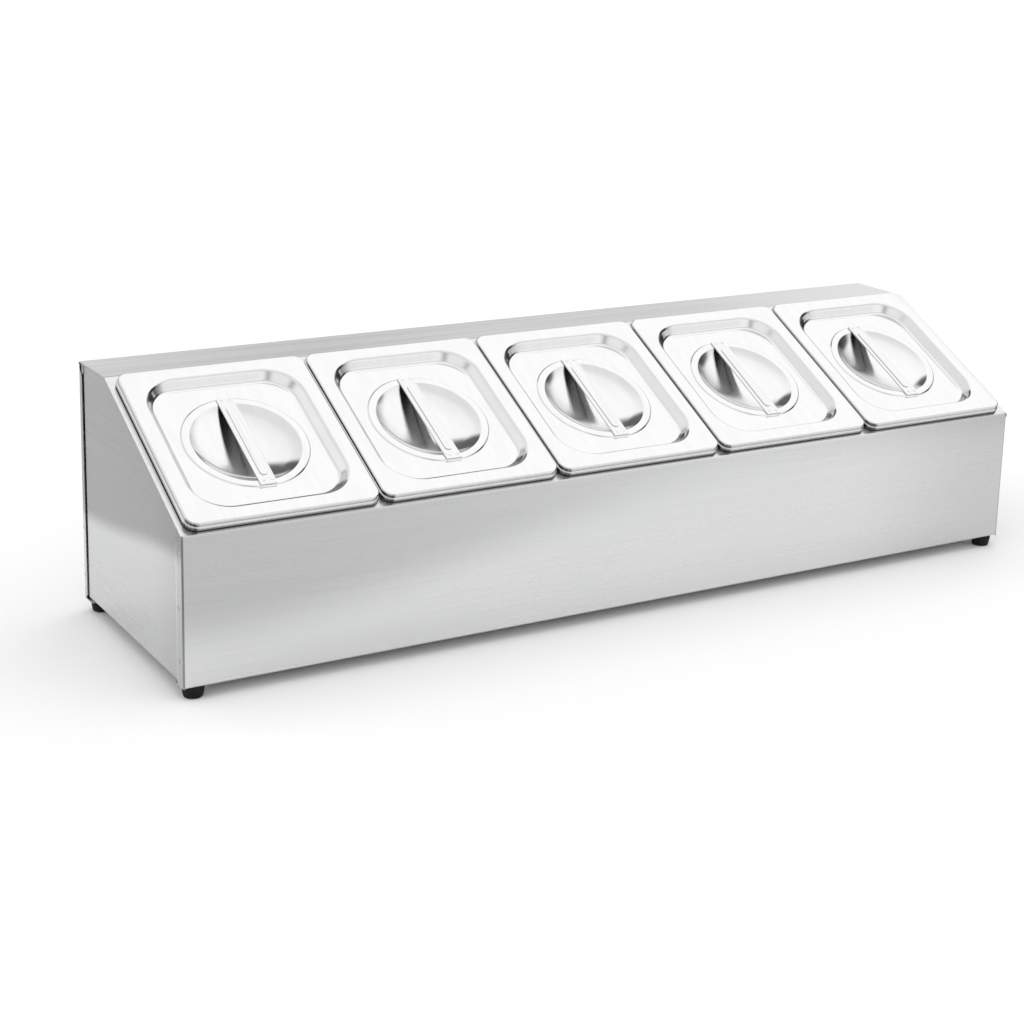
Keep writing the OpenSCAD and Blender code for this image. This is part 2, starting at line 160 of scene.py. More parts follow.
def walk(start, heading, moves):
    """Points of a path, each (x, height, nx, nh) with its normal on the right of the heading.

    A move is (length, 0) for a straight, or (radius, turn) for an arc. A positive turn is to the left.
    """
    x, h = start
    points = []

    def put():
        if not points or math.hypot(points[-1][0] - x, points[-1][1] - h) > TINY:
            points.append((x, h, cosd(heading - 90), sind(heading - 90)))

    put()
    for size, turn in moves:
        if turn == 0:
            x += size * cosd(heading)
            h += size * sind(heading)
            put()
            continue
        steps = max(2, int(round(abs(turn) / FOLD_STEP)))
        side = math.copysign(1, turn)
        for _ in range(steps):
            after = heading + turn / steps
            x += side * size * (cosd(heading + 90) - cosd(after + 90))
            h += side * size * (sind(heading + 90) - sind(after + 90))
            heading = after
            put()
    return points


def with_supports(path, near, far):
    """Adds a point near both ends of each straight longer than far, so that its shading stays flat."""
    points = [path[0]]
    for p, q in zip(path, path[1:]):
        run = math.hypot(q[0] - p[0], q[1] - p[1])
        straight = abs(p[2] - q[2]) + abs(p[3] - q[3]) < TINY
        if straight and run > far:
            for t in (near / run, 1 - near / run):
                points.append((p[0] + (q[0] - p[0]) * t, p[1] + (q[1] - p[1]) * t, p[2], p[3]))
        points.append(q)
    return points


def with_flats(path, before, after):
    """Adds a point on the flat outside each end of a path that leads inwards."""
    first, last = path[0], path[-1]
    return [(first[0] + before, first[1], 0, 1)] + path + [(last[0] - after, last[1], 0, 1)]


def shifted(path, d):
    """A path's places (x, height), moved along their normals by d."""
    return [(x + nx * d, h + nh * d) for x, h, nx, nh in path]


def wall_len(drop, r, a):
    """The straight between two opposite folds of radius r and angle a that go down by drop in all."""
    return (drop - 2 * r * (1 - cosd(a))) / sind(a)


def step_run(drop, r, a):
    """How far such a step reaches inwards."""
    return 2 * r * sind(a) + wall_len(drop, r, a) * cosd(a)


# ---- Plan loops ----
def plan_dirs(w, l, r):
    """A rounded rectangle's plan: for each loop point a centre (x, y) and a direction (dx, dy)."""
    centres = [(sx * (w / 2 - r), sy * (l / 2 - r)) for sx, sy in QUARTERS]
    dirs = []
    for k, (x, y) in enumerate(centres):
        for i in range(CORNER_STEPS + 1):
            a = 90 * k + 90 * i / CORNER_STEPS
            dirs.append((x, y, cosd(a), sind(a)))
        a = 90 * (k + 1)
        end_x, end_y = centres[(k + 1) % 4]
        for i in range(1, SIDE_STEPS):
            t = i / SIDE_STEPS
            dirs.append((x + (end_x - x) * t, y + (end_y - y) * t, cosd(a), sind(a)))
    return dirs


def rect_loop(dirs, x, h):
    """A rounded rectangle at a height, whose corners have the radius x."""
    return [(cx + x * dx, cy + x * dy, h) for cx, cy, dx, dy in dirs]


def ring_loop(dirs, corner_r, r, h):
    """A circle of radius r whose points lie in the same directions as a rounded rectangle's."""
    bearings = [math.atan2(cy + corner_r * dy, cx + corner_r * dx) for cx, cy, dx, dy in dirs]
    return [(r * math.cos(a), r * math.sin(a), h) for a in bearings]


def face_loops(runs, d):
    """One face of a sheet, d above its middle surface, as loops from the rim inwards.

    A run is a function that makes a loop from (x, height), and a path for it.
    """
    return [make_loop(x, h) for make_loop, path in runs for x, h in shifted(path, d)]


# ---- Meshes ----
def new_object(name, verts, faces, weights, place, material):
    """A smooth piece. Its points are in millimetres, in the frame that place puts into the scene."""
    mesh = bpy.data.meshes.new(name)
    mesh.from_pydata([(place @ Vector(v)) * MM for v in verts], [], faces)
    mesh.validate()
    mesh.update()
    mesh.polygons.foreach_set("use_smooth", [True] * len(mesh.polygons))
    for kind, values in weights.items():
        mesh.attributes.new(kind, "FLOAT", "POINT").data.foreach_set("value", values)
    mesh.materials.append(material)
    obj = bpy.data.objects.new(name, mesh)
    bpy.context.scene.collection.objects.link(obj)
    return obj


def skin_mesh(top, bottom):
    """A sheet's two faces, joined round the rim, and the two loops of points where they are still open.

    An open loop is listed in the order that a face over it has.
    """
    loops = top + bottom[::-1]
    n = len(top[0])
    innermost = len(top) - 1
    faces = []
    for j in range(len(loops)):
        if j == innermost:
            continue
        a, b = j * n, (j + 1) % len(loops) * n
        for i in range(n):
            k = (i + 1) % n
            faces.append((a + i, a + k, b + k, b + i))
    verts = [v for loop in loops for v in loop]
    upper = [innermost * n + i for i in range(n)]
    lower = [(innermost + 1) * n + i for i in reversed(range(n))]
    return verts, faces, upper, lower


def lip_weights(dirs, top, bottom, lip_loops, height, lip_h):
    """Weights for the points of such a skin: pleats in the lip's rounded corners, painted dark as a
    reflection, and its cut edge, painted dark as a shadow line.
    """
    pleats, edge = [], []
    for k, loop in list(enumerate(top)) + list(enumerate(bottom))[::-1]:
        down = min(1.0, max(0.0, (height - loop[0][2]) / (PLEAT_FULL_AT * lip_h)))
        share = down if k < lip_loops else 0.0
        for _, _, dx, dy in dirs:
            in_corner = min(1.0, PLEAT_SPREAD * abs(dx * dy))
            pleats.append(share * in_corner * (1.0 if dx < 0 and dy < 0 else PLEAT_ELSEWHERE))
        edge += [1.0 if k < CUT_EDGE_LOOPS else 0.0] * len(loop)
    return {"pleats": pleats, "cut_edge": edge}


def add_fan(verts, faces, weights, open_loop, height):
    """Closes an open loop with triangles round a new point on the axis."""
    centre = len(verts)
    verts.append((0, 0, height))
    for values in weights.values():
        values.append(0.0)
    for a, b in zip(open_loop, open_loop[1:] + open_loop[:1]):
        faces.append((a, b, centre))


def rim_path(corner_r, top, lip_h, t):
    """From the cut edge of a turned-down rim up round its fold. The flat takes in the fold's last facet."""
    flat_x = corner_r - t / 2 - RIM_FOLD_R
    drop = lip_h - t / 2 - RIM_FOLD_R
    outwards = walk((flat_x, top - t / 2), 0, [(RIM_FOLD_R, -90), (drop, 0)])
    inwards = [(x, h, -nx, -nh) for x, h, nx, nh in reversed(outwards[1:])]
    return with_supports(inwards, near=0.2, far=1.0)


# ---- Lid ----
def field_path():
    """From the lid's border down its wall on to the sunk field."""
    wall = wall_len(FIELD_DEPTH, FIELD_FOLD_R, FIELD_WALL_A)
    moves = [(FIELD_FOLD_R, FIELD_WALL_A), (wall, 0), (FIELD_FOLD_R, -FIELD_WALL_A)]
    path = walk((FIELD_CORNER_R, LID_TOP - LID_T / 2), 180, moves)
    return with_flats(with_supports(path, near=0.3, far=3.0), FLAT_RUN, FLAT_RUN)


def bowl_floor():
    """The bowl's round floor, which runs on from the arc below its wall: its edge's slope and radius."""
    folds_r = BOWL_FOLD_R + BOWL_TURN_R
    arc_centre_x = RING_R - RING_W - folds_r * sind(BOWL_WALL_A)
    drop_left = BOWL_DEPTH - folds_r * (1 - cosd(BOWL_WALL_A))
    edge_a = math.degrees(2 * math.atan(drop_left / arc_centre_x))
    return edge_a, arc_centre_x / sind(edge_a) + BOWL_TURN_R


def bowl_path():
    """From the field over the raised ring and down the finger bowl, nearly to the axis."""
    edge_a, floor_r = bowl_floor()
    ring_wall = wall_len(RING_H, RING_FOLD_R, RING_WALL_A)
    ring_flat = RING_W - step_run(RING_H, RING_FOLD_R, RING_WALL_A)
    moves = [
        (RING_LEAD, 0),
        (RING_FOLD_R, -RING_WALL_A),
        (ring_wall, 0),
        (RING_FOLD_R, RING_WALL_A),
        (ring_flat, 0),
        (BOWL_FOLD_R, BOWL_WALL_A),
        (BOWL_TURN_R, edge_a - BOWL_WALL_A),
    ]
    path = with_supports(walk((RING_R + RING_LEAD, FIELD_TOP - LID_T / 2), 180, moves), near=0.15, far=1.5)
    lowest = RING_TOP - LID_T / 2 - BOWL_DEPTH
    for k in range(1, BOWL_STEPS):
        a = edge_a * (1 - k / BOWL_STEPS)
        path.append((floor_r * sind(a), lowest + floor_r * (1 - cosd(a)), -sind(a), cosd(a)))
    return path


def lid_mesh():
    """A lid's points, faces and weights, in the frame of at_pan."""
    rim = rim_path(LID_CORNER_R, LID_TOP, LID_LIP_H, LID_T)
    rim_plan = plan_dirs(LID_W, LID_L, LID_CORNER_R)
    field_plan = plan_dirs(LID_W - 2 * LID_BORDER_W, LID_L - 2 * LID_BORDER_W, FIELD_CORNER_R)
    runs = (
        (partial(rect_loop, rim_plan), rim),
        (partial(rect_loop, field_plan), field_path()),
        (partial(ring_loop, field_plan, FIELD_CORNER_R), bowl_path()),
    )
    top, bottom = face_loops(runs, LID_T / 2), face_loops(runs, -LID_T / 2)
    verts, faces, upper, lower = skin_mesh(top, bottom)
    weights = lip_weights(rim_plan, top, bottom, len(rim), LID_TOP, LID_LIP_H)
    add_fan(verts, faces, weights, upper, RING_TOP - BOWL_DEPTH)
    add_fan(verts, faces, weights, lower, RING_TOP - BOWL_DEPTH - LID_T)
    return verts, faces, weights


# ---- Pan ----
def pan_path():
    """From the pan's rim round its mouth and down past the stacking step on to its floor."""
    wall_a = 90 - PAN_DRAFT
    back_a = wall_a - PAN_STEP_A
    upper = PAN_STEP_AT - PAN_MOUTH_R
    mouth_drop = PAN_MOUTH_R * (1 - cosd(wall_a)) + upper * sind(wall_a)
    step_drop = 2 * PAN_STEP_R * (cosd(PAN_STEP_A) - cosd(wall_a)) + PAN_STEP_LEN * sind(PAN_STEP_A)
    floor_drop = PAN_FLOOR_R * (1 - cosd(wall_a))
    lower = (PAN_DEPTH - PAN_T - mouth_drop - step_drop - floor_drop) / sind(wall_a)
    moves = [
        (PAN_MOUTH_R, wall_a),
        (upper, 0),
        (PAN_STEP_R, -back_a),
        (PAN_STEP_LEN, 0),
        (PAN_STEP_R, back_a),
        (lower, 0),
        (PAN_FLOOR_R, -wall_a),
    ]
    path = walk((PAN_MOUTH_CORNER_R + PAN_MOUTH_EASE, PAN_TOP - PAN_T / 2), 180, moves)
    return with_flats(with_supports(path, near=0.4, far=3.0), FLAT_RUN - PAN_MOUTH_EASE, FLOOR_FLAT_RUN)


def pan_mesh():
    """A pan's points, faces and weights, in the frame of at_pan."""
    rim = rim_path(RIM_CORNER_R, PAN_TOP, PAN_LIP_H, PAN_T)
    rim_plan = plan_dirs(PAN_W, PAN_L, RIM_CORNER_R)
    mouth_in = PAN_WALL_IN - PAN_MOUTH_R - PAN_T / 2
    wall_plan = plan_dirs(PAN_W - 2 * mouth_in, PAN_L - 2 * mouth_in, PAN_MOUTH_CORNER_R)
    runs = ((partial(rect_loop, rim_plan), rim), (partial(rect_loop, wall_plan), pan_path()))
    top, bottom = face_loops(runs, PAN_T / 2), face_loops(runs, -PAN_T / 2)
    verts, faces, upper, lower = skin_mesh(top, bottom)
    faces += [tuple(upper), tuple(lower)]
    return verts, faces, lip_weights(rim_plan, top, bottom, len(rim), PAN_TOP, PAN_LIP_H)


# ---- Materials ----
class Graph:
    """Short calls for a node tree. Each returns the output socket that the next one takes."""

    def __init__(self, tree):
        self.tree = tree

    def add(self, kind, inputs, **settings):
        """A new node with its inputs, which are sockets or values, and its own settings."""
        node = self.tree.nodes.new(kind)
        for key, value in settings.items():
            setattr(node, key, value)
        for key, value in inputs.items():
            self.feed(node.inputs[key], value)
        return node

    def feed(self, socket, value):
        if isinstance(value, bpy.types.NodeSocket):
            self.tree.links.new(value, socket)
        else:
            socket.default_value = value

    def axes(self):
        """The piece's own coordinates, in millimetres."""
        at = self.add("ShaderNodeTexCoord", {}).outputs["Object"]
        at = self.add("ShaderNodeVectorMath", {0: at, "Scale": 1 / MM}, operation="SCALE").outputs["Vector"]
        return self.add("ShaderNodeSeparateXYZ", {"Vector": at}).outputs

    def towards(self, direction, unit):
        """How far a direction points the way of a unit vector: 1 along it and -1 against it."""
        dot = self.add("ShaderNodeVectorMath", {0: direction, 1: unit}, operation="DOT_PRODUCT")
        return dot.outputs["Value"]

    def geometry(self, name):
        return self.add("ShaderNodeNewGeometry", {}).outputs[name]

    def weight(self, name):
        """A weight that the mesh code gave to the piece's points."""
        return self.add("ShaderNodeAttribute", {}, attribute_name=name).outputs["Fac"]

    def noise(self, frequency, detail, rough):
        """Noise in the piece's own coordinates. The frequency is per metre, for all axes or for each."""
        if isinstance(frequency, float):
            frequency = [frequency] * 3
        at = self.add("ShaderNodeTexCoord", {}).outputs["Object"]
        at = self.add("ShaderNodeMapping", {"Vector": at, "Scale": frequency}).outputs["Vector"]
        inputs = {"Vector": at, "Scale": 1.0, "Detail": detail, "Roughness": rough}
        return self.add("ShaderNodeTexNoise", inputs).outputs["Fac"]

    def remap(self, value, low, high, to_low, to_high):
        inputs = {"Value": value, "From Min": low, "From Max": high, "To Min": to_low, "To Max": to_high}
        return self.add("ShaderNodeMapRange", inputs, interpolation_type="SMOOTHSTEP").outputs["Result"]

    def spread(self, noise, to_low=0.0, to_high=1.0):
        """Spreads a noise, which stays near its middle, over a whole range."""
        return self.remap(noise, 0.3, 0.7, to_low, to_high)

    def maths(self, operation, a, b=0.0):
        return self.add("ShaderNodeMath", {0: a, 1: b}, operation=operation).outputs[0]

    def plus(self, a, b):
        return self.maths("ADD", a, b)

    def minus(self, a, b):
        return self.maths("SUBTRACT", a, b)

    def times(self, a, b):
        return self.maths("MULTIPLY", a, b)

    def blend(self, factor, a, b, mode="MIX"):
        """Mixes two colours. A colour is a socket or a triple."""
        node = self.add("ShaderNodeMix", {0: factor}, data_type="RGBA", blend_type=mode)
        colour_a, colour_b = node.inputs[6], node.inputs[7]
        for socket, value in ((colour_a, a), (colour_b, b)):
            self.feed(socket, value if isinstance(value, bpy.types.NodeSocket) else (*value, 1.0))
        return node.outputs[2]

    def grey(self, value):
        return self.add("ShaderNodeCombineColor", {0: value, 1: value, 2: value}).outputs[0]

    def bump(self, height, distance, under=None):
        """A bumped normal, on top of another one if that is given. The distance is in millimetres."""
        inputs = {"Height": height, "Distance": distance * MM, "Strength": 1.0}
        if under is not None:
            inputs["Normal"] = under
        return self.add("ShaderNodeBump", inputs).outputs["Normal"]


def new_material(name, metallic):
    """A material, its shader, and the calls for its node tree."""
    mat = bpy.data.materials.new(name)
    mat.use_nodes = True
    shader = mat.node_tree.nodes["Principled BSDF"]
    shader.inputs["Metallic"].default_value = metallic
    return mat, shader, Graph(mat.node_tree)


def dress(graph, shader, colour, roughness, normal):
    graph.feed(shader.inputs["Base Color"], colour)
    graph.feed(shader.inputs["Roughness"], roughness)
    graph.feed(shader.inputs["Normal"], normal)


# ---- Tones of the housing: shares of the steel's brightness, by place, mostly painted reflections, shade and highlights ----
# A gradient goes from one place to another, in millimetres, and has a value at each
END_LINE_BY_Y = (-120, 120, 112, 84)
END_ABOVE_LINE = (-8, 10, 1.0, 0.51)
END_BY_Y = (-115, -40, 0.86, 1.0)
FRONT_LINE_BY_X = (-410, 150, 45, 118)
FRONT_ABOVE_LINE = (-22, 30, 0.0, 1.0)
FRONT_UPPER_BY_X = (-410, 100, -0.33, -0.17)
FRONT_BY_X = (200, 410, 0.12, -0.10)
LEDGE_LEFT_BY_X = (-410, -50, -0.03, -0.13)
LEDGE_RIGHT_BY_X = (50, 410, 0.0, 0.18)
# Places that these tones keep to
FREE_EDGE_Y = FRONT_RETURN_W - HALF_D
WELD_Y = FRONT_RETURN_W / 2 - HALF_D
ON_FRONT_BY_Y = (0.5 - HALF_D, 3.0 - HALF_D, 1.0, 0.0)
ON_LEDGE_BY_Z = (OVERALL_H - 0.8, OVERALL_H - 0.2, 0.0, 1.0)
ON_RETURN_BY_OUT = (HALF_W - 0.3, HALF_W - 0.1, 0.0, 1.0)
# Marks: a painted shadow line along the laps, a painted highlight on the returns' free edges, heat marks
# round the welds and a painted dark reflection down the upright folds; their tone or its change, and where
# they fade
LAP_SHADOW = (FREE_EDGE_Y + 1.2, FREE_EDGE_Y + 2.2, 0.90, 1.0)
EDGE_HIGHLIGHT = (FREE_EDGE_Y - 2.6, FREE_EDGE_Y - 1.8, 0.0, 0.22)
EDGE_HIGHLIGHT_END = (FREE_EDGE_Y + 0.5, FREE_EDGE_Y + 1.0, 1.0, 0.0)
WELD_BURN_BY_REACH = (1.0, 2.8, 0.42, 0.0)
# The painted dark reflection down the front's upright folds: its darkness and where it lies
CREASE_REFLECTION_DARK = 0.62
CREASE_INNER = (HALF_W - 1.75, HALF_W - 1.55, 0.0, 1.0)
CREASE_OUTER = (HALF_W - 0.25, HALF_W - 0.1, 1.0, 0.0)
CREASE_BY_Y = (0.7 - HALF_D, 1.7 - HALF_D, 1.0, 0.0)


def end_painted_reflection(graph):
    """A painted reflection on the ends: duller in their upper part, above a line that rises to the front,
    and at the front.
    """
    at = graph.axes()
    over = graph.minus(at["Z"], graph.remap(at["Y"], *END_LINE_BY_Y))
    return graph.times(graph.remap(over, *END_ABOVE_LINE), graph.remap(at["Y"], *END_BY_Y))


def end_sheet_painted_light(graph):
    """The end sheets' painted reflection, with a painted shadow line along the front return that laps over
    them.
    """
    return graph.times(end_painted_reflection(graph), graph.remap(graph.axes()["Y"], *LAP_SHADOW))


def weld_burn(graph, at):
    """A dark patch of heat round each spot weld of the front returns."""
    turns = graph.times(graph.minus(at["Z"], WELD_LOW), 1 / WELD_PITCH)
    from_weld = graph.minus(graph.maths("FRACT", graph.plus(turns, 0.5)), 0.5)
    up = graph.times(from_weld, WELD_PITCH)
    across = graph.minus(at["Y"], WELD_Y)
    reach = graph.maths("SQRT", graph.plus(graph.times(up, up), graph.times(across, across)))
    return graph.remap(reach, *WELD_BURN_BY_REACH)


def lap_highlight_and_burn(graph, at):
    """The front returns: a painted highlight along the free edge, and the heat round the spot welds."""
    # A painted highlight along the free edge of each return
    edge_highlight = graph.times(graph.remap(at["Y"], *EDGE_HIGHLIGHT), graph.remap(at["Y"], *EDGE_HIGHLIGHT_END))
    return graph.plus(1.0, graph.minus(edge_highlight, weld_burn(graph, at)))


def upright_fold_reflection(graph, at, out):
    """A painted dark reflection down the front's two upright folds."""
    line = graph.times(graph.remap(out, *CREASE_INNER), graph.remap(out, *CREASE_OUTER))
    line = graph.times(line, graph.remap(at["Y"], *CREASE_BY_Y))
    return graph.minus(1.0, graph.times(line, CREASE_REFLECTION_DARK))


def front_painted_reflection(graph, at):
    """A painted reflection on the front: bright below a line that rises to the right, and duller above it
    and at its right.
    """
    over = graph.minus(at["Z"], graph.remap(at["X"], *FRONT_LINE_BY_X))
    upper = graph.times(graph.remap(over, *FRONT_ABOVE_LINE), graph.remap(at["X"], *FRONT_UPPER_BY_X))
    front = graph.plus(upper, graph.remap(at["X"], *FRONT_BY_X))
    return graph.times(front, graph.remap(at["Y"], *ON_FRONT_BY_Y))


def ledge_painted_reflection(graph, at):
    """A painted reflection on the ledge: a little duller at its left and middle, and brighter at its right.
    """
    ledge = graph.plus(graph.remap(at["X"], *LEDGE_LEFT_BY_X), graph.remap(at["X"], *LEDGE_RIGHT_BY_X))
    return graph.times(ledge, graph.remap(at["Z"], *ON_LEDGE_BY_Z))


def shell_painted_light(graph):
    """The shell's painted light: its front and ledge, and its returns, which follow the ends that they lap
    over.
    """
    at = graph.axes()
    out = graph.maths("ABSOLUTE", at["X"])
    change = graph.plus(front_painted_reflection(graph, at), ledge_painted_reflection(graph, at))
    tone = graph.times(graph.plus(change, 1.0), upright_fold_reflection(graph, at, out))
    on_return = graph.remap(out, *ON_RETURN_BY_OUT)
    returns = graph.times(end_painted_reflection(graph), lap_highlight_and_burn(graph, at))
    return graph.plus(graph.times(tone, graph.minus(1.0, on_return)), graph.times(on_return, returns))


# ---- The materials, each with its own node tree ----
def drawn_out(along, across, lengthwise):
    """A noise frequency that is drawn out along one axis: 0 for X and 1 for Y."""
    frequency = [across] * 3
    frequency[along] = lengthwise
    return frequency


def brushed_steel(name, along, painted_light_of):
    """Satin sheet with its grain along one axis, and the painted reflections and shade of its place
    multiplied into its colour.
    """
    mat, shader, graph = new_material(name, 1.0)
    streak = graph.noise(drawn_out(along, 260.0, 2.5), detail=3.0, rough=0.6)
    grain = graph.noise(drawn_out(along, 1100.0, 8.0), detail=2.0, rough=0.6)
    scratch = graph.noise(drawn_out(along, 2600.0, 40.0), detail=1.0, rough=0.5)
    broad = graph.noise((3.0, 4.0, 7.0), detail=2.0, rough=0.5)
    dark, light = (0.596, 0.599, 0.603), (0.646, 0.649, 0.653)
    grain_colour, cloud_colour = (0.53, 0.535, 0.54), (0.66, 0.66, 0.665)
    colour = graph.blend(streak, dark, light)
    colour = graph.blend(graph.spread(grain, 0.0, 0.30), colour, grain_colour)
    colour = graph.blend(graph.remap(broad, 0.35, 0.7, 0.0, 0.3), colour, cloud_colour)
    # The painted reflections, shade and highlights of the piece, as shares of the colour
    colour = graph.blend(1.0, colour, graph.grey(painted_light_of(graph)), "MULTIPLY")
    rough = graph.plus(graph.spread(streak, 0.22, 0.30), graph.spread(broad, -0.03, 0.04))
    normal = graph.bump(grain, 0.0015, graph.bump(broad, 0.08))
    dress(graph, shader, colour, rough, graph.bump(scratch, 0.0005, normal))
    return mat


def pressed_steel(name, roughness, wave, dark, light, edge_shadow_dark):
    """Bright pressed sheet: soft press waves, wiping marks, folds polished and painted brighter as a
    highlight, lip corners creased and painted dark as a reflection, and a painted shadow line along the
    lips' edges.
    """
    mat, shader, graph = new_material(name, 1.0)
    waves = graph.noise(24.0, detail=2.0, rough=0.45)
    wipe = graph.noise((160.0, 30.0, 30.0), detail=3.0, rough=0.6)
    speck = graph.noise(1400.0, detail=2.0, rough=0.6)
    folds = graph.noise((650.0, 650.0, 60.0), detail=2.0, rough=0.55)
    # Convex folds: polished smoother, and painted brighter as a highlight
    wear_and_highlight = graph.remap(graph.geometry("Pointiness"), 0.505, 0.56, 0.0, 0.8)
    in_corner = graph.weight("pleats")
    # The creased lip corners, painted dark as a reflection of the gaps beside them
    pleat_reflection = graph.times(in_corner, graph.remap(folds, 0.38, 0.62, 0.62, 1.0))
    # The lip's cut edge, painted dark as the shadow line under the lip
    cut = graph.times(graph.weight("cut_edge"), edge_shadow_dark)
    colour = graph.blend(graph.spread(wipe), dark, light)
    colour = graph.blend(wear_and_highlight, colour, (0.72, 0.72, 0.725))
    colour = graph.blend(pleat_reflection, colour, (0.05, 0.05, 0.052))
    colour = graph.blend(cut, colour, (0.08, 0.08, 0.082))
    rough = graph.remap(wipe, 0.3, 0.75, roughness * 0.8, roughness * 1.35)
    rough = graph.minus(rough, graph.times(wear_and_highlight, roughness * 0.35))
    normal = graph.bump(speck, 0.001, graph.bump(waves, wave))
    dress(graph, shader, colour, rough, graph.bump(graph.times(in_corner, folds), 0.4, normal))
    return mat


def strip_steel():
    """The handle strips: ground along their length, softer in gloss than the lids, and rougher below, where
    they are also painted dark as shade.
    """
    mat, shader, graph = new_material("handle_steel", 1.0)
    lines = graph.noise((1500.0, 14.0, 14.0), detail=3.0, rough=0.6)
    touch = graph.noise(60.0, detail=3.0, rough=0.55)
    off_slope = (0.0, -sind(SLOPE_A), cosd(SLOPE_A))
    # Faces turned away from the slope: painted dark as the shade under the strips, and rougher
    under = graph.remap(graph.towards(graph.geometry("Normal"), off_slope), -0.5, -0.2, 1.0, 0.0)
    colour = graph.blend(graph.spread(lines), (0.60, 0.60, 0.605), (0.68, 0.68, 0.685))
    colour = graph.blend(under, colour, (0.22, 0.22, 0.225))
    rough = graph.plus(graph.spread(lines, 0.13, 0.19), graph.remap(touch, 0.45, 0.7, 0.0, 0.07))
    rough = graph.plus(rough, graph.times(under, 0.15))
    dress(graph, shader, colour, rough, graph.bump(lines, 0.002, graph.bump(touch, 0.02)))
    return mat


def mill_steel():
    """The hidden brackets: plain mill finish, mottled."""
    mat, shader, graph = new_material("bracket_steel", 1.0)
    mottle = graph.noise(180.0, detail=4.0, rough=0.65)
    rolled = graph.noise((900.0, 60.0, 900.0), detail=2.0, rough=0.5)
    colour = graph.blend(graph.spread(mottle), (0.44, 0.445, 0.45), (0.56, 0.565, 0.57))
    rough = graph.spread(mottle, 0.34, 0.5)
    dress(graph, shader, colour, rough, graph.bump(rolled, 0.004, graph.bump(mottle, 0.012)))
    return mat


def zinc():
    """The screws, washers and nuts: bright zinc with a faint warm cast in places."""
    mat, shader, graph = new_material("fastener_steel", 1.0)
    patch = graph.noise(260.0, detail=3.0, rough=0.6)
    grit = graph.noise(2400.0, detail=2.0, rough=0.6)
    warm = graph.remap(patch, 0.35, 0.65, 0.0, 1.0)
    colour = graph.blend(warm, (0.60, 0.605, 0.61), (0.66, 0.63, 0.56))
    dress(graph, shader, colour, graph.spread(grit, 0.24, 0.38), graph.bump(grit, 0.006))
    return mat


def black_rubber():
    """The feet: moulded rubber with a fine grain, greyer where it rubs on the table."""
    mat, shader, graph = new_material("foot_rubber", 0.0)
    grain = graph.noise(1800.0, detail=3.0, rough=0.6)
    dust = graph.noise(220.0, detail=3.0, rough=0.6)
    rubbed = graph.remap(graph.axes()["Z"], 0.0, 2.2, 1.0, 0.0)
    wear_and_highlight = graph.times(graph.plus(rubbed, 0.35), graph.remap(dust, 0.35, 0.7, 0.0, 1.0))
    colour = graph.blend(wear_and_highlight, (0.008, 0.008, 0.009), (0.026, 0.025, 0.025))
    shader.inputs["Specular IOR Level"].default_value = 0.12
    dress(graph, shader, colour, graph.spread(grain, 0.48, 0.66), graph.bump(grain, 0.03))
    return mat


def white_floor():
    """The plain floor of the studio."""
    mat, shader, _ = new_material("floor_white", 0.0)
    shader.inputs["Base Color"].default_value = (0.97, 0.97, 0.97, 1)
    shader.inputs["Roughness"].default_value = 0.9
    shader.inputs["Specular IOR Level"].default_value = 0.1
    return mat


shell_steel = brushed_steel("housing_steel", 0, shell_painted_light)
end_steel = brushed_steel("end_steel", 1, end_sheet_painted_light)
# The last value is how dark the painted shadow line along the lips' edges is
lid_steel = pressed_steel("lid_steel", 0.11, 0.06, (0.645, 0.647, 0.651), (0.67, 0.671, 0.674), 0.30)
pan_steel = pressed_steel("pan_steel", 0.17, 0.05, (0.60, 0.602, 0.606), (0.65, 0.651, 0.654), 0.92)
handle_steel = strip_steel()
bracket_steel = mill_steel()
fastener_steel = zinc()
foot_rubber = black_rubber()

# A node takes the material of the first entry that its name starts with
NODE_MATERIALS = (
    ("foot_washers", fastener_steel),
    ("foot_screws", fastener_steel),
    ("foot_nuts", fastener_steel),
    ("foot_", foot_rubber),
    ("bracket_", bracket_steel),
    ("lid_handle_", handle_steel),
    ("main_shell", shell_steel),
    ("left_end_panel", end_steel),
    ("right_end_panel", end_steel),
)


# ---- Pieces ----
def at_pan(i):
    """The frame of pan i: on the slope below the middle of the pan's rim, with z at right angles to it."""
    to_slope = Matrix.Translation(Vector((0, -HALF_D, FRONT_H)))
    tilt = Matrix.Rotation(math.radians(SLOPE_A), 4, "X")
    x = (i - (PAN_COUNT + 1) / 2) * PAN_PITCH
    return to_slope @ tilt @ Matrix.Translation(Vector((x, FRONT_MARGIN + PAN_L / 2, 0)))


def slot_flap(side):
    """The ledge's mitred flap over the top of the slot beside the back return: -1 is the left."""
    rear = HALF_D - BACK_RETURN_W - FLAP_CLEAR
    front = rear - BACK_SLOT_W + 2 * FLAP_CLEAR
    top = OVERALL_H - SHEET_T
    outline = ((front, top), (rear, top), (rear, top - FLAP_DROP), (front, top - FLAP_DROP + FLAP_RISE))
    faces_x = (side * (HALF_W - FLAP_CLEAR / 2), side * (HALF_W - SHEET_T))
    verts = [(x, y, z) for x in faces_x for y, z in outline]
    n = len(outline)
    sides = [(i, (i + 1) % n, n + (i + 1) % n, n + i) for i in range(n)]
    faces = sides + [tuple(range(n - 1, -1, -1)), tuple(range(n, 2 * n))]
    if side < 0:
        faces = [face[::-1] for face in faces]
    name = "slot_flap_%s" % ("left" if side < 0 else "right")
    flap = new_object(name, verts, faces, {}, Matrix(), shell_steel)
    flap.data.polygons.foreach_set("use_smooth", [False] * len(faces))
    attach(flap, "housing")


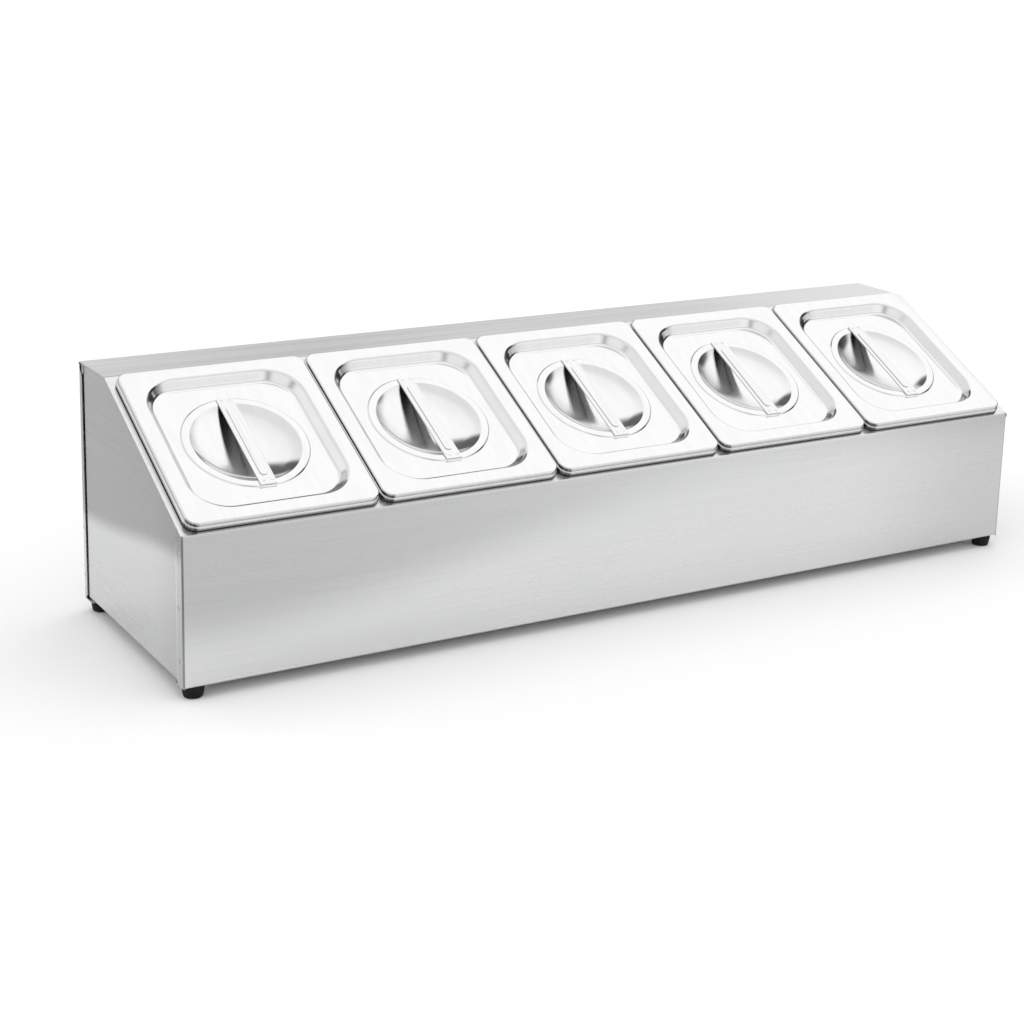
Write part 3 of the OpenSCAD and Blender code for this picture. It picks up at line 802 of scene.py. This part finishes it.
lid_skin, pan_skin = lid_mesh(), pan_mesh()
for i in range(1, PAN_COUNT + 1):
    place = at_pan(i)
    lid = new_object("lid_sheet_%d" % i, *lid_skin, place, lid_steel)
    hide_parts("lid_%d" % i)
    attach(lid, "lid_body_%d" % i)
    pan = new_object("pan_sheet_%d" % i, *pan_skin, place, pan_steel)
    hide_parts("pan_%d" % i)
    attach(pan, "pan_body_%d" % i)

slot_flap(-1)
slot_flap(1)

for node_name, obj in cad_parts.items():
    matching = [mat for start, mat in NODE_MATERIALS if node_name.startswith(start)]
    for material_slot in obj.material_slots:
        if matching:
            material_slot.material = matching[0]

# ---- Floor ----
# It lies a little below the feet, so that no two faces share a plane
FLOOR_HALF = 30000.0
FLOOR_DROP = 0.2
corners = [(sx * FLOOR_HALF, sy * FLOOR_HALF, -FLOOR_DROP) for sx, sy in QUARTERS]
floor = new_object("floor", corners, [(0, 1, 2, 3)], {}, Matrix(), white_floor())

# ---- Light ----
# A lobe has a direction, the cosines off it at which it starts and is full, and an amount
LOW_LIGHT = 0.60
LOW_LOBES = (
    ((0.45, -0.89, 0.02), 0.80, 0.96, 0.70),
    ((0.50, 0.83, 0.27), 0.80, 0.97, 0.62),
    ((-0.65, -0.72, 0.25), 0.80, 0.96, 0.60),
    ((-0.72, 0.45, 0.40), 0.75, 0.97, 0.75),
    ((0.98, 0.10, 0.12), 0.76, 0.95, -0.32),
)
HIGH_LIGHT = 1.10
HIGH_LOBE = ((0.60, 0.25, 0.76), 0.60, 0.97, 0.36)
# The low part gives way to the high one between these heights, which are sines of the elevation
LOW_TO_HIGH = (0.28, 0.68, 0.0, 1.0)
# The low part's dark band behind the object, by the direction's y and z
BAND_BY_Y = (0.60, 0.84, 0.0, 1.0)
BAND_BY_Z = (0.13, 0.20, 0.78, 0.0)
# Dark things in the studio, which the wells' corners and the bowls' rims mirror
DARK_PATCHES = (
    ((0.28, 0.74, 0.61), 0.942, 0.978, 0.88),
    ((0.95, -0.08, 0.30), 0.94, 0.975, 0.85),
)


def lobe(graph, sky, centre, start, full, amount):
    """A soft patch of light or shade in the studio, round one direction."""
    length = math.sqrt(sum(c * c for c in centre))
    unit = tuple(c / length for c in centre)
    return graph.remap(graph.towards(sky, unit), start, full, 0.0, amount)


def studio_light(graph):
    """The studio's brightness by direction: lobes low down, one high up, a dark band behind and patches."""
    sky = graph.add("ShaderNodeTexCoord", {}).outputs["Generated"]
    part = graph.add("ShaderNodeSeparateXYZ", {0: sky}).outputs
    low = LOW_LIGHT
    for patch in LOW_LOBES:
        low = graph.plus(low, lobe(graph, sky, *patch))
    dark_band = graph.times(graph.remap(part["Y"], *BAND_BY_Y), graph.remap(part["Z"], *BAND_BY_Z))
    low = graph.times(low, graph.minus(1.0, dark_band))
    high = graph.plus(lobe(graph, sky, *HIGH_LOBE), HIGH_LIGHT)
    share = graph.remap(part["Z"], *LOW_TO_HIGH)
    light = graph.plus(graph.times(high, share), graph.times(low, graph.minus(1.0, share)))
    for patch in DARK_PATCHES:
        light = graph.times(light, graph.minus(1.0, lobe(graph, sky, *patch)))
    return light


world = bpy.data.worlds.new("studio")
bpy.context.scene.world = world
world.use_nodes = True
background = world.node_tree.nodes["Background"]
background.inputs["Color"].default_value = (1, 1, 1, 1)
world_graph = Graph(world.node_tree)
world_graph.feed(background.inputs["Strength"], studio_light(world_graph))
bpy.context.scene.view_settings.view_transform = "Standard"

# ---- Camera, as fitted to the photo: its sizes in pixels are those of the photo ----
CAM_AZ = -30.86
CAM_EL = 13.32
CAM_ROLL = 1.43
CAM_POS = (-918.4, -1427.5, 601.0)
FOCAL_PX = 1983.4
IMAGE_PX = 1024.0
PRINCIPAL_ROW = 358.0
SENSOR_MM = 36.0
CLIP_NEAR_M = 0.05
CLIP_FAR_M = 60


def look(az, el, roll):
    """The rotation of a camera that stands az to the right of the front, looks down by el and rolls."""
    forward = Vector((-sind(az) * cosd(el), cosd(az) * cosd(el), -sind(el)))
    level = forward.cross(Vector((0, 0, 1))).normalized()
    upright = level.cross(forward)
    right = level * cosd(roll) + upright * sind(roll)
    up = upright * cosd(roll) - level * sind(roll)
    return Matrix((right, up, -forward)).transposed().to_4x4()


cam = bpy.data.cameras.new("camera")
cam.sensor_fit = "HORIZONTAL"
cam.sensor_width = SENSOR_MM
cam.lens = FOCAL_PX / IMAGE_PX * SENSOR_MM
cam.shift_y = (PRINCIPAL_ROW - IMAGE_PX / 2) / IMAGE_PX
cam.clip_start = CLIP_NEAR_M
cam.clip_end = CLIP_FAR_M
cam_obj = bpy.data.objects.new("camera", cam)
bpy.context.scene.collection.objects.link(cam_obj)
cam_obj.matrix_world = Matrix.Translation(Vector(CAM_POS) * MM) @ look(CAM_AZ, CAM_EL, CAM_ROLL)
bpy.context.scene.camera = cam_obj
